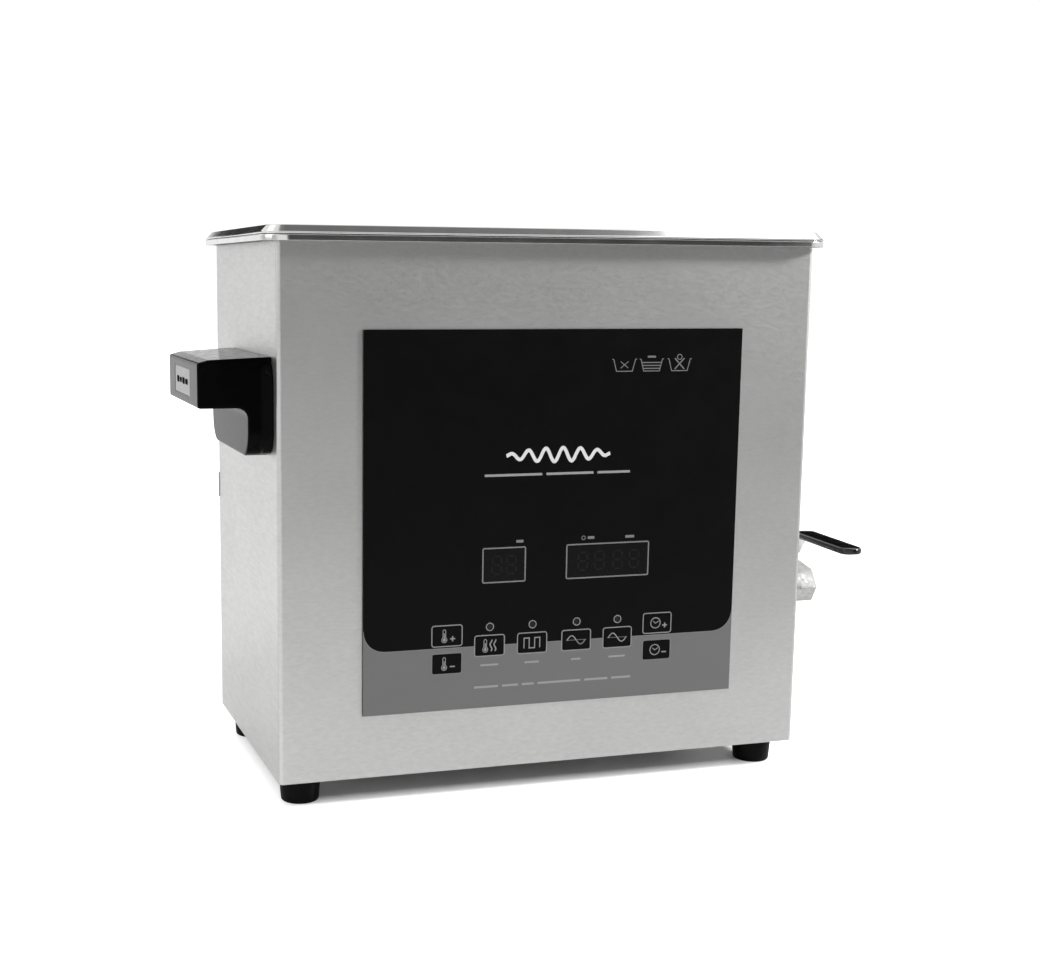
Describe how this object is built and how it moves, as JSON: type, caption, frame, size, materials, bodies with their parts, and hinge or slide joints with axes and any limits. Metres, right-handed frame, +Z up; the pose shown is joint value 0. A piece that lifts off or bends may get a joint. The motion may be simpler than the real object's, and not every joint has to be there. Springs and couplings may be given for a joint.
{
  "type": "ultrasonic cleaner",
  "caption": "Bench-top ultrasonic cleaner: steel tank in a rectangular casing with feet, sunk lid, basket, touch panel, side handle and lever drain valve.",
  "frame": {"origin": "centre of the footprint box on the plane that the feet stand on", "axes": "+X to the right towards the drain valve, -Y to the front with the control panel, +Z up"},
  "size_m": [0.427, 0.196, 0.3265],
  "materials": {
    "casing_steel": "matt rolled stainless sheet",
    "base_steel": "galvanised sheet",
    "foot_rubber": "matt black rubber",
    "screw_steel": "plain steel",
    "tank_steel": "deep-drawn satin stainless",
    "seal_silicone": "grey silicone",
    "heater_silicone": "orange silicone pad",
    "horn_aluminium": "turned aluminium",
    "piezo_ceramic": "fired ceramic",
    "back_mass_steel": "turned steel",
    "elbow_brass": "plain brass",
    "valve_steel": "cast stainless, satin",
    "seat_ptfe": "white fluoroplastic",
    "lever_steel": "pressed stainless strip",
    "grip_vinyl": "dipped black vinyl",
    "ball_chrome": "polished",
    "overlay_film": "printed film, satin",
    "display_film": "tinted window",
    "circuit_board": "green solder mask",
    "display_body": "moulded, satin",
    "black_plastic": "moulded, fine texture",
    "led_lens": "diffused lens",
    "key_film": "printed film, satin",
    "coil_copper": "enamelled winding",
    "handle_plastic": "moulded, fine texture",
    "label_film": "printed film",
    "rocker_plastic": "moulded, glossy",
    "basket_wire": "bright wire",
    "basket_sheet": "woven wire mesh",
    "lid_steel": "polished stainless"
  },
  "bodies": {
    "housing": {"casing_wrap": "casing_steel", "back_panel": "casing_steel", "base_plate": "base_steel", "rubber_feet": "foot_rubber", "foot_screws": "screw_steel", "panel_screws": "screw_steel", "tank": "tank_steel", "rim_seal": "seal_silicone", "heater_pads": "heater_silicone", "temperature_sensor": "screw_steel", "transducer_horns": "horn_aluminium", "piezo_rings": "piezo_ceramic", "transducer_back_masses": "back_mass_steel", "transducer_bolts": "screw_steel", "drain_fitting": "tank_steel", "drain_seals": "foot_rubber", "drain_lock_nuts": "screw_steel", "drain_elbow": "elbow_brass", "drain_nipple": "valve_steel", "valve_body": "valve_steel", "valve_seats": "seat_ptfe", "packing_nut": "valve_steel", "control_overlay": "overlay_film", "display_windows": "display_film", "control_board": "circuit_board", "display_modules": "display_body", "tact_switches": "black_plastic", "indicator_leds": "led_lens", "generator_board": "circuit_board", "board_standoffs": "elbow_brass", "heat_sink": "horn_aluminium", "toroidal_coil": "coil_copper", "side_handle": "handle_plastic", "handle_label": "label_film", "fan_frame": "black_plastic", "fan_guard": "screw_steel", "power_inlet": "black_plastic", "inlet_pins": "elbow_brass", "switch_housing": "black_plastic"},
    "lid": {"lid": "lid_steel", "lid_handle": "handle_plastic", "lid_handle_screws": "screw_steel"},
    "basket": {"basket_rim": "basket_wire", "basket_posts": "basket_wire", "basket_mesh": "basket_sheet", "basket_handles": "basket_wire"},
    "drain_lever": {"valve_lever": "lever_steel", "lever_grip": "grip_vinyl", "valve_stem": "lever_steel", "valve_ball": "ball_chrome"},
    "fan_rotor": {"fan_impeller": "black_plastic"},
    "power_rocker": {"power_rocker": "rocker_plastic"},
    "key_temp_up": {"key_temp_up": "key_film"},
    "key_temp_down": {"key_temp_down": "key_film"},
    "key_heat": {"key_heat": "key_film"},
    "key_degas": {"key_degas": "key_film"},
    "key_soft": {"key_soft": "key_film"},
    "key_normal": {"key_normal": "key_film"},
    "key_time_up": {"key_time_up": "key_film"},
    "key_time_down": {"key_time_down": "key_film"}
  },
  "joints": [
    {"name": "lid_lift", "type": "slide", "parent": "housing", "child": "lid", "axis": [0, 0, 1], "range_m": [0, 0.3]},
    {"name": "basket_lift", "type": "slide", "parent": "housing", "child": "basket", "axis": [0, 0, 1], "range_m": [0, 0.165]},
    {"name": "drain_lever_turn", "type": "hinge", "parent": "housing", "child": "drain_lever", "pos_m": [0.1955, 0, 0.0946], "axis": [0, 0, 1], "range_deg": [0, 95]},
    {"name": "fan_spin", "type": "hinge", "parent": "housing", "child": "fan_rotor", "pos_m": [-0.102, 0.08, 0.074], "axis": [0, 1, 0], "continuous": true},
    {"name": "rocker_tip", "type": "hinge", "parent": "housing", "child": "power_rocker", "pos_m": [0.045, 0.087, 0.064], "axis": [1, 0, 0], "range_deg": [0, 24]},
    {"name": "press_temp_up", "type": "slide", "parent": "housing", "child": "key_temp_up", "axis": [0, 1, 0], "range_m": [0, 0.0005], "stiffness_N_per_m": 2500},
    {"name": "press_temp_down", "type": "slide", "parent": "housing", "child": "key_temp_down", "axis": [0, 1, 0], "range_m": [0, 0.0005], "stiffness_N_per_m": 2500},
    {"name": "press_heat", "type": "slide", "parent": "housing", "child": "key_heat", "axis": [0, 1, 0], "range_m": [0, 0.0005], "stiffness_N_per_m": 2500},
    {"name": "press_degas", "type": "slide", "parent": "housing", "child": "key_degas", "axis": [0, 1, 0], "range_m": [0, 0.0005], "stiffness_N_per_m": 2500},
    {"name": "press_soft", "type": "slide", "parent": "housing", "child": "key_soft", "axis": [0, 1, 0], "range_m": [0, 0.0005], "stiffness_N_per_m": 2500},
    {"name": "press_normal", "type": "slide", "parent": "housing", "child": "key_normal", "axis": [0, 1, 0], "range_m": [0, 0.0005], "stiffness_N_per_m": 2500},
    {"name": "press_time_up", "type": "slide", "parent": "housing", "child": "key_time_up", "axis": [0, 1, 0], "range_m": [0, 0.0005], "stiffness_N_per_m": 2500},
    {"name": "press_time_down", "type": "slide", "parent": "housing", "child": "key_time_down", "axis": [0, 1, 0], "range_m": [0, 0.0005], "stiffness_N_per_m": 2500}
  ],
  "couplings": [
    {"joint": "basket_lift", "follows": "lid_lift", "ratio": 0.55}
  ]
}
